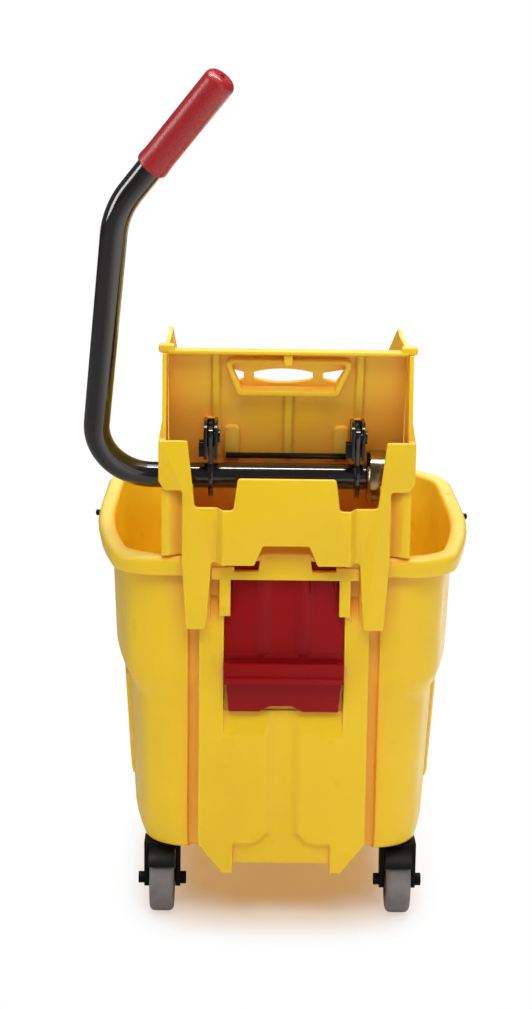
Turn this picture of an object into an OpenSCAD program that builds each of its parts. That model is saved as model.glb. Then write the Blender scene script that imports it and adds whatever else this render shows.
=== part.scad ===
// Mop bucket on swivel casters with a side press wringer hooked on its front rim.
// Millimetres. +X is right, +Y runs from the wringer end to the pouring end, +Z is up.
// The origin lies on the floor, below the line between the two rim pegs.

/* [Bucket] */
// Width over the rim at the pegs, where it is widest
rim_w = 396; // [360:1:440]
// How far each side of the rim bows in from the pegs to the front
rim_bow = 34; // [28:1:40]
// Front of the rim, measured from the origin
rim_front = 245; // [230:1:270]
// Back of the rim, measured from the origin
rim_back = 250; // [230:1:280]
// Height of the rim's top above the floor
rim_z = 388; // [370:1:410]
// Height of the skirt that hangs from the rim
rim_skirt_h = 20; // [16:0.5:26]
// Depth of the rim from its outer edge to the opening
rim_depth = 18; // [16:0.5:22]
// Corner radius of the rim at the front
rim_front_r = 38; // [32:1:46]
// Corner radius of the rim at the back
rim_back_r = 112; // [90:1:130]
// Thickness of the side and back walls
wall = 4; // [3:0.5:6]
// Thickness of the ribbed front wall
front_wall = 12; // [11:0.5:16]
// Thickness of the floor
floor_t = 5; // [4:0.5:8]
// Height of the bucket's underside above the floor
underside_z = 77; // [77:1:90]
// Height of the lower edge of the shoulder
shoulder_low_z = 233; // [215:1:240]
// Height of the upper edge of the shoulder
shoulder_high_z = 258; // [250:1:270]
// Height at which the wall starts to flare into the rim
flare_z = 345; // [335:1:352]
// Inset of the wall from the rim at the underside
bottom_inset = 40; // [38:0.5:44]
// Inset of the wall from the rim below the shoulder
low_inset = 32; // [30:0.5:36]
// Inset of the wall from the rim above the shoulder
high_inset = 19.5; // [18:0.5:24]
// Inset of the wall from the rim below the flare
flare_inset = 16; // [14:0.5:17.5]

/* [Front of the bucket] */
// Width of the raised middle panel
panel_w = 168; // [160:1:176]
// How far the panel's face stands behind the rim's front
panel_back = 5; // [3:0.5:8]
// Top of the panel's cross band
band_top_z = 378; // [372:1:380]
// Height of the cross band
band_h = 13; // [9:0.5:15]
// Width of the grooves beside the panel
groove_w = 11; // [8:0.5:14]
// Depth of the grooves
groove_depth = 7; // [4:0.5:7.5]
// Lowest point of the panel's two feet
foot_z = 58; // [54:1:62]
// Width of the red insert
insert_w = 118; // [110:1:124]
// Lowest edge of the red insert
insert_low_z = 229; // [222:1:236]
// Height of the insert's bar above the floor
bar_z = 262; // [255:1:270]
// Height of the insert's bar
bar_h = 19; // [15:0.5:24]

/* [Casters] */
// Diameter of a wheel
wheel_d = 68; // [64:0.5:68]
// Width of a tyre
tyre_w = 25; // [22:0.5:26]
// Diameter of the axle bolts
axle_d = 8; // [6:0.5:10]
// Diameter of the swivel stems
stem_d = 11; // [9:0.5:13]
// Distance of the axle from the swivel
caster_trail = 17; // [14:0.5:20]
// Distance of the front swivels in from the rim's widest sides
front_swivel_in = 76.5; // [76:0.5:82]
// Distance of the front swivels from the origin
front_swivel = 176; // [170:1:180]
// Distance of the rear swivels in from the rim's widest sides
rear_swivel_in = 90; // [84:0.5:96]
// Distance of the rear swivels from the origin
rear_swivel = 128; // [115:1:135]

/* [Wringer] */
// Width over the side walls
wringer_w = 243; // [236:1:248]
// Width over the front posts
posts_w = 249; // [246:1:254]
// Front of the apron, measured from the origin
apron_front = 252; // [252:1:256]
// Thickness of the apron
apron_t = 5; // [3:0.5:5]
// Thickness of the side walls
side_t = 4; // [3:0.5:5]
// Height of the top edge of the side walls
side_top_z = 586; // [575:1:600]
// Height of the top of the posts
post_top_z = 504; // [500:1:510]
// How far the apron's middle stands ahead of its posts and legs
apron_bulge = 14; // [8:0.5:18]
// Height of the middle tab of the apron
tab_top_z = 470; // [462:1:475]
// Height of the lower edge of the apron
apron_low_z = 384; // [381:1:386]
// Height of the ends of the two hanging legs
leg_low_z = 316; // [310:1:330]
// Height of the draining floor
drain_floor_z = 350; // [345:1:360]
// Thickness of the draining floor and the back wall
strainer_t = 4; // [3:0.5:5]
// Diameter of the drain holes
drain_d = 12; // [8:0.5:16]

/* [Handle] */
// Diameter of the handle tube
tube_d = 25.4; // [22:0.1:27]
// Thickness of the tube's wall
tube_t = 2; // [1.5:0.1:3]
// Distance of the shaft in front of the origin
shaft_front = 205; // [203:0.5:207]
// Height of the shaft above the floor
shaft_z = 461.5; // [460:0.5:463]
// Lean of the handle away from the bucket, in degrees
handle_lean = 22; // [18:1:26]
// How far the handle swings over the bucket, in degrees
handle_swing = 70; // [60:1:72]
// Length of the lever from the shaft's line to the upper bend
lever_len = 287; // [260:1:310]
// Length from the upper bend to the end of the grip
grip_reach = 164; // [154:1:180]
// Length of the grip
grip_len = 109; // [95:1:120]
// Diameter of the grip
grip_d = 31; // [30:0.5:36]
// Throw of the cranks, from the shaft to the pin
crank_r = 46; // [44:0.5:48]
// Thickness of the crank plates
crank_t = 5; // [4:0.5:6]
// Diameter of the crank pins
pin_d = 8; // [6:0.5:9]
// Diameter of the drum at the right end of the shaft
drum_d = 54; // [48:1:55]

/* [Press plate] */
// Thickness of the press plate
plate_t = 5; // [4:0.5:6]
// Height of the press plate's top above the floor
plate_top_z = 589; // [588:0.5:604]
// Width of the hand hole at its top
hole_w = 118; // [104:1:124]
// Height of the hand hole
hole_h = 15; // [12:0.5:20]

/* [Fits] */
// Radial clearance of parts that turn
run_clear = 0.06; // [0.03:0.01:0.09]
// Gap between parts that slide or lie loosely
slip = 0.5; // [0.4:0.1:0.8]

/* [Hidden] */
$fn = 48;
// Overrun of every cut
over = 1;
yellow = "gold";
black = "dimgray";
red = "firebrick";

// Bucket: shares and small sizes
corner_steps = 6;
side_steps = 4;
front_corner_share = 0.1;
back_corner_share = 0.4;
front_inset_share = 0.55;
front_inset_base = 4.6;
back_inset_share = 1.1;
back_inset_base = 7;
skirt_t = wall;
rim_round = 5;
rim_round_shares = [0.3, 1];
rim_lip_share = 0.5;
wall_top_share = 0.55;
cavity_z = underside_z + floor_t;
rim_under_z = rim_z - wall;
skirt_low_z = rim_z - rim_skirt_h;
pod_d = 32;
pod_h = 44;

// One level of the bucket: a ring of points at height z, set in from the rim's outer edge
function corner(cx, cy, r, start) =
    [for (i = [0:corner_steps]) let (a = start + 90 * i / corner_steps) [cx + r * cos(a), cy + r * sin(a)]];
function side_ys(front, r_front) = [for (i = [1:side_steps]) (r_front - front) * (1 - i / side_steps)];
function outline(w, front, back, r_front, r_back) = concat(
    corner(w - r_front, r_front - front, r_front, -90),
    [for (y = side_ys(front, r_front)) [w, y]],
    corner(w - r_back, back - r_back, r_back, 0),
    corner(r_back - w, back - r_back, r_back, 90),
    [for (i = [side_steps - 1:-1:0]) [-w, side_ys(front, r_front)[i]]],
    corner(r_front - w, r_front - front, r_front, 180));
// How far a side has bowed in at y
function bow(y) = rim_bow * pow(min(0, y) / rim_front, 2);
function level(side_in, front_in, back_in, z) =
    [for (p = outline(rim_w / 2 - side_in, rim_front - front_in, rim_back - back_in,
                      rim_front_r - front_corner_share * side_in, rim_back_r - back_corner_share * side_in))
        [p[0] - sign(p[0]) * bow(p[1]), p[1], z]];
function even_level(inset, z) = level(inset, inset, inset, z);
function front_in(inset) = front_inset_share * inset + front_inset_base;
function back_in(inset) = back_inset_share * inset + back_inset_base;
function wall_level(inset, z) = level(inset, front_in(inset), back_in(inset), z);
function cavity_level(inset, z) = level(inset + wall, front_in(inset) + front_wall, back_in(inset) + wall, z);

// Joins rings into one closed skin, with its first and last ring capped
module loft(rings) {
    n = len(rings[0]);
    m = len(rings);
    side = [for (i = [0:m - 2]) for (j = [0:n - 1])
        let (a = i * n + j, b = i * n + (j + 1) % n)
            each [[a, a + n, b + n], [a, b + n, b]]];
    first = [for (j = [0:n - 1]) j];
    last = [for (j = [n - 1:-1:0]) (m - 1) * n + j];
    polyhedron(points = [for (r = rings) each r], faces = concat(side, [first], [last]), convexity = 8);
}

// Draws a Y-Z outline and runs it from x0 to x1
module along_x(x0, x1) {
    translate([x0, 0, 0]) rotate([90, 0, 90]) linear_extrude(x1 - x0) children();
}

// Draws an X-Z outline and runs it from y0 to y1
module along_y(y0, y1) {
    translate([0, y1, 0]) rotate([90, 0, 0]) linear_extrude(y1 - y0) children();
}

module box(low, high) {
    translate(low) cube(high - low);
}

module rod_x(x0, x1, r) {
    translate([x0, 0, 0]) rotate([0, 90, 0]) cylinder(h = x1 - x0, r = r);
}

module both_sides() {
    children();
    mirror([1, 0, 0]) children();
}

// Front wall of the bucket in side view: heights, and the wall's face at each height
function face_y(inset) = front_in(inset) - rim_front;
front_zs = [underside_z, shoulder_low_z, shoulder_high_z, flare_z];
front_ys = [face_y(bottom_inset), face_y(low_inset), face_y(high_inset), face_y(flare_inset)];

// Middle panel of the bucket's front
panel_y = panel_back - rim_front;
band_y = panel_y - panel_back - 2 * slip;
foot_w = 11;
foot_out = 60;
foot_web_rise = 9;
foot_shoulder = 12;
recess_depth = 8;
recess_w = insert_w + 2 * slip;
channel_w = 32;
channel_depth = 4;
channel_top_z = 203;
jamb_w = 11;
jamb_h = 37;
jamb_cover = 6;
lug_w = 46;
lug_top_w = 40;

// Casters: the two swivel rows and their names
wheel_r = wheel_d / 2;
axle_r = axle_d / 2;
stem_r = stem_d / 2;
socket_t = 2.5;
socket_r = stem_r + run_clear + socket_t;
socket_flange = 5;
socket_flange_t = 2;
stem_len = 34;
crown_t = 6;
crown_gap = 1.5;
crown_r = 17;
leg_t = 5;
leg_gap = 1;
leg_eye_r = 9;
hood_t = 3;
hood_gap = 2;
hood_sweep = 53;
axle_head_d = 13;
axle_head_h = 6;
hub_w = tyre_w + leg_gap;
hub_d = 44;
hub_boss_d = 18;
hub_web_t = 8;
tyre_round = 5;
fork_w = tyre_w + 2 * leg_gap + 2 * leg_t;
front_swivel_x = rim_w / 2 - front_swivel_in;
rear_swivel_x = rim_w / 2 - rear_swivel_in;
CASTERS = [[-front_swivel_x, -front_swivel], [front_swivel_x, -front_swivel],
           [-rear_swivel_x, rear_swivel], [rear_swivel_x, rear_swivel]];

// Wringer
side_x = wringer_w / 2;
side_in_x = side_x - side_t;
post_x = posts_w / 2;
apron_y = -apron_front;
apron_back_y = apron_y + apron_t;
apron_mid_y = apron_y - apron_bulge;
apron_mid_w = 132;
post_w = 28;
post_low_z = 455;
post_chamfer = 9;
post_slope = 6;
post_depth = 32;
post_t = 4;
post_fillet = 17;
notch_low_z = 438.5;
notch_out = 89;
tab_w = 95;
tab_slope = 4;
bump_w = 45;
bump_low_w = 62;
bump_rise = 19.5;
bump_top_z = apron_low_z + bump_rise;
leg_x = 87;
leg_top_w = 29;
leg_low_w = 20;
leg_round = 4;
recess_y = -238;
shelf_t = 4;
hook_t = 4;
hook_gap = 9;
hook_y = hook_gap + rim_depth - rim_front;
shelf_back = -hook_y - hook_t;
side_front_y = -240;
side_front_top_y = -232;
peak_y = -55;
peak_rise = 4;
back_top_y = 88;
back_top_z = 500;
fin_z = 548;
fin_y = 84;
floor_back_y = -70;
basket_drop = 10;
basket_low_z = drain_floor_z - basket_drop;
side_low_z = rim_z + slip;
drain_pitch = 24;
drain_margin = 16;

// Shaft, cranks and handle
tube_r = tube_d / 2;
shaft_y = -shaft_front;
bush_t = 3;
bush_flange = 4;
bush_flange_t = 2;
shaft_right_x = side_x - bush_flange_t;
bend_low_r = 54;
bend_high_r = 90;
lever_tilt = 6;
bead_len = 2;
bead_rise = 0.1;
grip_tilt = 36.7;
lever_foot_x = 191.5;
crank_left_x = -74.5;
crank_right_x = 69.5;
crank_hub_r = 21;
crank_eye_r = 9;
pin_head_d = 13;
pin_head_h = 2;
drum_x = 79;
drum_w = 21;
drum_round = 3;
grip_round = 6;
grip_lip = 4;
grip_hole_d = 5;
grip_hole_depth = 12;
grip_rib_depth = 0.6;

// Press plate
plate_x = side_in_x - 2 * slip;
plate_low_z = drain_floor_z + strainer_t + 4 * slip;
drum_gap = 3;
plate_face_y = shaft_y + drum_d / 2 + drum_gap;
plate_top_y = -215;
plate_slope = (plate_face_y - plate_top_y) / (plate_top_z - shaft_z);
plate_flange = 14;
plate_flange_t = 4;
ear_out = 6;
ear_len = 14;
ear_h = 7;
rib_t = 4;
rib_depth = 7;
rib_xs = [-71, 0, 71];
hole_top_drop = 18;
hole_slope = 8;
hole_bar_w = 10;
hole_bar_off = -4;
hole_mid_w = 58;
collar_w = 5;
collar_depth = 13;
gusset_x = 47;
gusset_w = 13;
gusset_low_w = 9;
gusset_h = 32;
gusset_depth = 14;
rod_d = 6;
rod_rise = 17;
rod_front = 7;
pad_w = 20;
pad_low_rise = 28;
pad_high_rise = 57;
pad_front = 200;
yoke_base_t = 4;
yoke_base_w = 14;
cheek_t = 3;
cheek_gap = 1.1;
cheek_nose = 12;
cheek_low_rise = 21;
cheek_top = 15;
slot_lead = 2.8;
slot_lag = 0.7;
slot_drop = crank_r * (cos(handle_lean) - cos(handle_swing - handle_lean)) + slip;
slot_rise = crank_r * (1 - cos(handle_lean)) + slip;
boss_w = 5;
boss_h = 14;
boss_len = 16;
boss_rise = 23;
screw_d = 4;
screw_head_d = 6;
screw_head_h = 2.5;
screw_len = 8;
screw_rises = [37, 51];
pin_y = shaft_y - crank_r * sin(handle_lean);
pin_z = shaft_z + crank_r * cos(handle_lean);

// Rim pegs
peg_d = 6.5;
peg_dome = 5;
peg_shank_d = 4;
peg_drop = 10;

// A strip that follows the front wall in side view, from its face by lead to its face by lag
module front_strip(lead, lag) {
    polygon(concat([for (i = [0:len(front_zs) - 1]) [front_ys[i] + lag, front_zs[i]]],
                   [for (i = [len(front_zs) - 1:-1:0]) [front_ys[i] - lead, front_zs[i]]]));
}

module panel_outline() {
    half = panel_w / 2;
    polygon([[-half, band_top_z], [half, band_top_z], [half, underside_z + foot_shoulder],
             [foot_out, foot_z], [foot_out - foot_w, foot_z], [foot_out - foot_w, foot_z + foot_web_rise],
             [foot_w - foot_out, foot_z + foot_web_rise], [foot_w - foot_out, foot_z], [-foot_out, foot_z],
             [-half, underside_z + foot_shoulder]]);
}

// Skin of the wall and the rim up to its outer edge, as a list of levels
outer_rings = [wall_level(bottom_inset, underside_z), wall_level(low_inset, shoulder_low_z),
               wall_level(high_inset, shoulder_high_z), wall_level(flare_inset, flare_z),
               wall_level(flare_inset * wall_top_share + wall, rim_under_z)];

module bucket_skin() {
    rim_rings = [
        even_level(skirt_t, rim_under_z),
        even_level(skirt_t, skirt_low_z),
        even_level(0, skirt_low_z),
        even_level(0, rim_z - rim_round),
        even_level(rim_round * rim_round_shares[0], rim_z - rim_round * rim_round_shares[0]),
        even_level(rim_round * rim_round_shares[1], rim_z),
        even_level(rim_depth - rim_round * rim_lip_share, rim_z),
        even_level(rim_depth, rim_z - rim_round * rim_lip_share)];
    inner = [cavity_level(flare_inset, flare_z), cavity_level(high_inset, shoulder_high_z),
             cavity_level(low_inset, shoulder_low_z), cavity_level(bottom_inset, cavity_z)];
    loft(concat(outer_rings, rim_rings, inner));
}

// Cross band with its locating lug, and the two jambs that hold the insert
module front_band() {
    half = panel_w / 2;
    lug_z = rim_z - slip;
    along_y(band_y, panel_y + slip)
        polygon([[-half + groove_w, band_top_z - band_h], [half - groove_w, band_top_z - band_h],
                 [half - groove_w, band_top_z], [lug_w / 2, band_top_z], [lug_top_w / 2, lug_z],
                 [-lug_top_w / 2, lug_z], [-lug_w / 2, band_top_z], [groove_w - half, band_top_z]]);
    both_sides()
        box([recess_w / 2 - jamb_cover, band_y + slip, band_top_z - band_h - jamb_h],
            [recess_w / 2 - jamb_cover + jamb_w, panel_y + slip, band_top_z - band_h + slip]);
}

module bucket() {
    half = panel_w / 2;
    pocket_y = panel_y + recess_depth;
    color(yellow) difference() {
        union() {
            difference() {
                bucket_skin();
                // the insert's place, which also opens the skirt above it
                box([-recess_w / 2, -rim_front - over, insert_low_z], [recess_w / 2, pocket_y, rim_under_z]);
            }
            // flat bed behind the insert
            box([-recess_w / 2, pocket_y, insert_low_z], [recess_w / 2, pocket_y + front_wall, flare_z]);
            for (c = CASTERS)
                translate([c[0], c[1], underside_z + floor_t / 2])
                    cylinder(h = pod_h - floor_t / 2, d = pod_d);
        }
        front_band();
        both_sides()
            along_x(half, half + groove_w) front_strip(front_wall + rim_skirt_h, groove_depth);
        both_sides() translate([0, 0, rim_z - peg_drop])
            rod_x(rim_w / 2 - skirt_t - over, rim_w / 2 + over, peg_shank_d / 2);
        for (c = CASTERS) translate([c[0], c[1], underside_z - over]) {
            cylinder(h = stem_len + socket_t + over, r = socket_r);
            cylinder(h = socket_flange_t + over, r = socket_r + socket_flange);
        }
    }
}

// Raised middle of the bucket's front: two rails, a lower field with a channel and two feet, and the band
module bucket_panel() {
    half = panel_w / 2;
    back = front_wall / 2;
    color(yellow) {
        difference() {
            intersection() {
                along_y(panel_y, 0) panel_outline();
                along_x(-half, half) polygon([[panel_y, foot_z], [panel_y, band_top_z],
                    [face_y(flare_inset) + back, band_top_z], [front_ys[0] + back, underside_z],
                    [front_ys[0] + back - foot_shoulder, foot_z]]);
            }
            loft(outer_rings);
            box([-recess_w / 2, -rim_front - over, insert_low_z], [recess_w / 2, 0, rim_z]);
            box([-channel_w / 2, panel_y - over, foot_z],
                [channel_w / 2, panel_y + channel_depth, channel_top_z]);
            // the web between the feet is set back as far as the channel
            box([foot_w - foot_out, panel_y - over, foot_z],
                [foot_out - foot_w, panel_y + channel_depth, underside_z + foot_shoulder]);
        }
        front_band();
    }
}

// Red insert: fluted plate, projecting bar and a skirt that hangs below the bar
flute_w = 3;
flute_depth = 1.5;
flute_x = 19;
insert_t = 5;
bar_depth = 15;
bar_lip = 4;
bar_lip_h = 5;
skirt_depth = 9;
skirt_end_depth = 5;
skirt_draw = 3;
skirt_arch_w = 20;
skirt_arch_h = 5;

module front_insert() {
    half = insert_w / 2;
    back = panel_y + recess_depth;
    face = back - insert_t;
    bar_front = face - bar_depth;
    top_z = band_top_z + wall - slip;
    neck = recess_w / 2 - jamb_cover - slip;
    lip_y = bar_front - bar_lip;
    lip_z = bar_z + bar_lip_h;
    arch = skirt_arch_w / 2;
    color(red) {
        difference() {
            union() {
                along_y(face, back) polygon([[-half, bar_z], [half, bar_z], [half, top_z], [-half, top_z]]);
                for (x = [-flute_x, flute_x])
                    box([x - flute_w / 2, face - flute_depth, bar_z],
                        [x + flute_w / 2, face + slip, band_top_z - band_h]);
                along_x(-half, half)
                    polygon([[face + slip, bar_z], [lip_y, bar_z], [lip_y, lip_z], [bar_front, lip_z],
                             [bar_front, bar_z + bar_h], [face + slip, bar_z + bar_h]]);
                intersection() {
                    along_x(-half, half)
                        polygon([[back, bar_z + slip], [back, insert_low_z + slip],
                                 [face - skirt_end_depth, insert_low_z + slip],
                                 [face - skirt_depth, bar_z + slip]]);
                    along_y(-rim_front - rim_skirt_h, 0)
                        polygon([[-half, bar_z + slip], [half, bar_z + slip],
                                 [half - skirt_draw, insert_low_z], [arch, insert_low_z],
                                 [arch - skirt_draw, insert_low_z + skirt_arch_h],
                                 [skirt_draw - arch, insert_low_z + skirt_arch_h],
                                 [-arch, insert_low_z], [skirt_draw - half, insert_low_z]]);
                }
            }
            // finger channel behind the bar
            box([-neck, bar_front + bar_lip, lip_z], [neck, face - flute_depth, bar_z + bar_h + over]);
        }
    }
}

module rim_pegs() {
    color(black) for (s = [0, 1]) mirror([s, 0, 0]) translate([0, 0, rim_z - peg_drop]) {
        rod_x(rim_w / 2 - skirt_t, rim_w / 2, peg_shank_d / 2);
        translate([rim_w / 2, 0, 0]) rotate([0, 90, 0]) rotate_extrude()
            intersection() {
                scale(peg_dome / (peg_d / 2)) circle(d = peg_d);
                square([peg_d / 2, peg_dome]);
            }
    }
}

module caster_sockets() {
    color("silver") for (c = CASTERS) translate([c[0], c[1], underside_z]) difference() {
        union() {
            cylinder(h = stem_len + socket_t, r = socket_r);
            cylinder(h = socket_flange_t, r = socket_r + socket_flange);
        }
        translate([0, 0, -over]) cylinder(h = stem_len + slip + over, r = stem_r + run_clear);
    }
}

// One caster's parts, drawn round its swivel at the origin with the wheel ahead of it
crown_low_z = wheel_d + crown_gap;
module at_axle() {
    translate([0, -caster_trail, wheel_r]) children();
}

module caster_fork(i) {
    c = CASTERS[i];
    crown_high_z = crown_low_z + crown_t;
    hood_r = wheel_r + hood_gap;
    color(black) translate([c[0], c[1], 0]) {
        difference() {
            union() {
                translate([0, 0, crown_low_z]) cylinder(h = crown_t, r = crown_r);
                box([-fork_w / 2, -caster_trail - leg_eye_r, crown_low_z], [fork_w / 2, 0, crown_high_z]);
                for (s = [0, 1]) mirror([s, 0, 0]) along_x(fork_w / 2 - leg_t, fork_w / 2) {
                    polygon([[-caster_trail - leg_eye_r, wheel_r], [leg_eye_r - caster_trail, wheel_r],
                             [0, crown_high_z], [-caster_trail - leg_eye_r, crown_high_z]]);
                    translate([-caster_trail, wheel_r]) circle(r = leg_eye_r);
                }
                // hood that covers the top and the front of the wheel
                at_axle() rotate([0, 90, 0]) rotate([0, 0, 180]) rotate_extrude(angle = hood_sweep)
                    translate([hood_r, leg_t - fork_w / 2]) square([hood_t, fork_w - 2 * leg_t]);
            }
            at_axle() rod_x(-fork_w, fork_w, axle_r);
        }
        translate([0, 0, crown_high_z]) cylinder(h = underside_z - crown_high_z + stem_len, r = stem_r);
    }
}

module wheel_tyre(i) {
    c = CASTERS[i];
    w = tyre_w / 2;
    color("gray") translate([c[0], c[1], 0]) at_axle() rotate([0, 90, 0]) rotate_extrude()
        polygon([[hub_d / 2, -w], [wheel_r - tyre_round, -w], [wheel_r, tyre_round - w],
                 [wheel_r, w - tyre_round], [wheel_r - tyre_round, w], [hub_d / 2, w]]);
}

module wheel_hub(i) {
    c = CASTERS[i];
    bore = axle_r + run_clear;
    color("lightgray") translate([c[0], c[1], 0]) at_axle() rotate([0, 90, 0]) rotate_extrude()
        polygon([[bore, -hub_w / 2], [hub_boss_d / 2, -hub_w / 2], [hub_boss_d / 2, -hub_web_t / 2],
                 [hub_d / 2 - hub_web_t / 2, -hub_web_t / 2], [hub_d / 2 - hub_web_t / 2, -tyre_w / 2],
                 [hub_d / 2, -tyre_w / 2], [hub_d / 2, tyre_w / 2], [hub_d / 2 - hub_web_t / 2, tyre_w / 2],
                 [hub_d / 2 - hub_web_t / 2, hub_web_t / 2], [hub_boss_d / 2, hub_web_t / 2],
                 [hub_boss_d / 2, hub_w / 2], [bore, hub_w / 2]]);
}

module wheel_axle(i) {
    c = CASTERS[i];
    color(black) translate([c[0], c[1], 0]) at_axle() {
        rod_x(-fork_w / 2, fork_w / 2, axle_r);
        rod_x(fork_w / 2, fork_w / 2 + axle_head_h, axle_head_d / 2);
        translate([-fork_w / 2 - axle_head_h, 0, 0]) rotate([0, 90, 0])
            cylinder(h = axle_head_h, d = axle_head_d, $fn = 6);
    }
}

// Apron: a post and a leg at each side, and a middle that stands ahead of them
module apron_side_outline() {
    low_half = leg_low_w / 2;
    inner_x = apron_mid_w / 2 - apron_t;
    polygon([[inner_x, notch_low_z], [notch_out, notch_low_z], [post_x - post_w, post_top_z],
             [post_x, post_top_z], [post_x, post_low_z + post_chamfer], [post_x - post_slope, post_low_z],
             [leg_x + leg_top_w / 2, post_low_z], [leg_x + leg_top_w / 2, apron_low_z],
             [leg_x + low_half, leg_low_z + leg_round], [leg_x + low_half - leg_round, leg_low_z],
             [leg_x - low_half + leg_round, leg_low_z], [leg_x - low_half, leg_low_z + leg_round],
             [leg_x - leg_top_w / 2, apron_low_z], [inner_x, apron_low_z]]);
}

module apron_mid_outline() {
    half = apron_mid_w / 2;
    notch_in = tab_w / 2 + tab_slope;
    polygon([[-half, notch_low_z], [-notch_in, notch_low_z], [-tab_w / 2, tab_top_z], [tab_w / 2, tab_top_z],
             [notch_in, notch_low_z], [half, notch_low_z], [half, apron_low_z], [bump_low_w / 2, apron_low_z],
             [bump_w / 2, bump_top_z], [-bump_w / 2, bump_top_z], [-bump_low_w / 2, apron_low_z],
             [-half, apron_low_z]]);
}

module wringer_apron() {
    half = apron_mid_w / 2;
    color(yellow) {
        along_y(apron_mid_y, apron_mid_y + apron_t) apron_mid_outline();
        both_sides() {
            along_y(apron_y, apron_back_y) apron_side_outline();
            box([half - apron_t, apron_mid_y, apron_low_z], [half, apron_back_y, notch_low_z]);
        }
    }
}

module side_outline() {
    polygon([[side_front_y, side_low_z], [side_front_y, post_top_z], [side_front_top_y, side_top_z],
             [peak_y - drain_pitch, side_top_z], [peak_y, side_top_z + peak_rise], [fin_y, fin_z],
             [back_top_y, back_top_z], [back_top_y - strainer_t, back_top_z - strainer_t],
             [floor_back_y, basket_low_z], [hook_y, basket_low_z], [hook_y, side_low_z]]);
}

module wringer_frame() {
    shelf_z = rim_z + slip;
    color(yellow) difference() {
        union() {
            both_sides() {
                along_x(side_in_x, side_x) side_outline();
                // post: outer cheek with a fillet on it, the wall's front edge and the box behind the apron
                along_y(side_front_y, apron_back_y + post_depth)
                    polygon([[side_x, post_top_z], [post_x, post_top_z], [side_x, post_top_z + post_fillet]]);
                box([side_x, apron_back_y, post_low_z + post_chamfer],
                    [post_x, apron_back_y + post_depth, post_top_z]);
                box([side_in_x, apron_back_y, post_low_z], [side_x, side_front_y, post_top_z]);
                box([side_in_x - post_t, apron_back_y, side_low_z],
                    [side_in_x, recess_y, post_low_z + post_chamfer]);
                box([leg_x + post_t, recess_y - post_t, side_low_z],
                    [side_in_x - slip, recess_y, post_low_z + post_t]);
                box([leg_x + post_t, apron_back_y, side_low_z],
                    [leg_x + 2 * post_t, recess_y - slip, post_low_z + post_t]);
            }
            // shelf on the rim, which reaches forward to the apron's middle, and the hook behind the rim
            box([-side_in_x, apron_back_y, shelf_z], [side_in_x, -shelf_back, shelf_z + shelf_t]);
            box([apron_t - apron_mid_w / 2, apron_mid_y + apron_t, shelf_z],
                [apron_mid_w / 2 - apron_t, apron_back_y, shelf_z + shelf_t]);
            box([-side_x, hook_y, basket_low_z], [side_x, hook_y + hook_t, shelf_z + shelf_t]);
        }
        translate([0, shaft_y, shaft_z]) rod_x(-post_x - over, post_x + over, tube_r + run_clear + bush_t);
        along_y(apron_mid_y, -shelf_back + over)
            polygon([[-bump_low_w / 2, apron_low_z], [bump_low_w / 2, apron_low_z],
                     [bump_w / 2, bump_top_z], [-bump_w / 2, bump_top_z]]);
    }
}

// Rows of drain holes over a plate that spans from u0 to u1
module drain_rows(u0, u1) {
    cols = floor((2 * side_in_x - 2 * drain_margin) / drain_pitch);
    rows = floor((u1 - u0 - 2 * drain_margin) / drain_pitch);
    for (i = [0:cols]) for (j = [0:rows])
        translate([(i - cols / 2) * drain_pitch, (u0 + u1) / 2 + (j - rows / 2) * drain_pitch])
            circle(d = drain_d);
}

module wringer_floor() {
    floor_end_y = floor_back_y - strainer_t;
    color(yellow) translate([0, 0, drain_floor_z]) linear_extrude(strainer_t) difference() {
        translate([-side_in_x, -shelf_back]) square([2 * side_in_x, shelf_back + floor_end_y]);
        drain_rows(-shelf_back, floor_end_y);
    }
}

module wringer_back() {
    rise = back_top_z - drain_floor_z;
    run = back_top_y - floor_back_y;
    length = sqrt(rise * rise + run * run);
    color(yellow) translate([0, floor_back_y, drain_floor_z]) rotate([atan2(rise, run), 0, 0])
        linear_extrude(strainer_t) difference() {
            translate([-side_in_x, 0]) square([2 * side_in_x, length]);
            drain_rows(0, length);
        }
}

module shaft_bush(inner_x) {
    color("ivory") translate([0, shaft_y, shaft_z]) difference() {
        union() {
            rod_x(inner_x, inner_x + side_t, tube_r + run_clear + bush_t);
            rod_x(inner_x - bush_flange_t, inner_x, tube_r + run_clear + bush_t + bush_flange);
        }
        rod_x(inner_x - bush_flange_t - over, inner_x + side_t + over, tube_r + run_clear);
    }
}

module shaft_bush_left() {
    mirror([1, 0, 0]) shaft_bush(side_in_x);
}

module shaft_bush_right() {
    shaft_bush(side_in_x);
}

// Face of the press plate, in side view, at height z
function plate_y(z) = plate_face_y - plate_slope * (z - shaft_z);

module plate_strip(z0, z1, lead, lag) {
    polygon([[plate_y(z0) + lag, z0], [plate_y(z1) + lag, z1],
             [plate_y(z1) - lead, z1], [plate_y(z0) - lead, z0]]);
}

// Outline of the hand hole
hole_top_z = plate_top_z - hole_top_drop;
hole_low_z = hole_top_z - hole_h;
module hand_hole(grow) {
    top = hole_w / 2 + grow;
    low = hole_w / 2 - hole_slope + grow;
    polygon([[-top, hole_top_z + grow], [top, hole_top_z + grow],
             [low, hole_low_z - grow], [-low, hole_low_z - grow]]);
}

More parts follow.
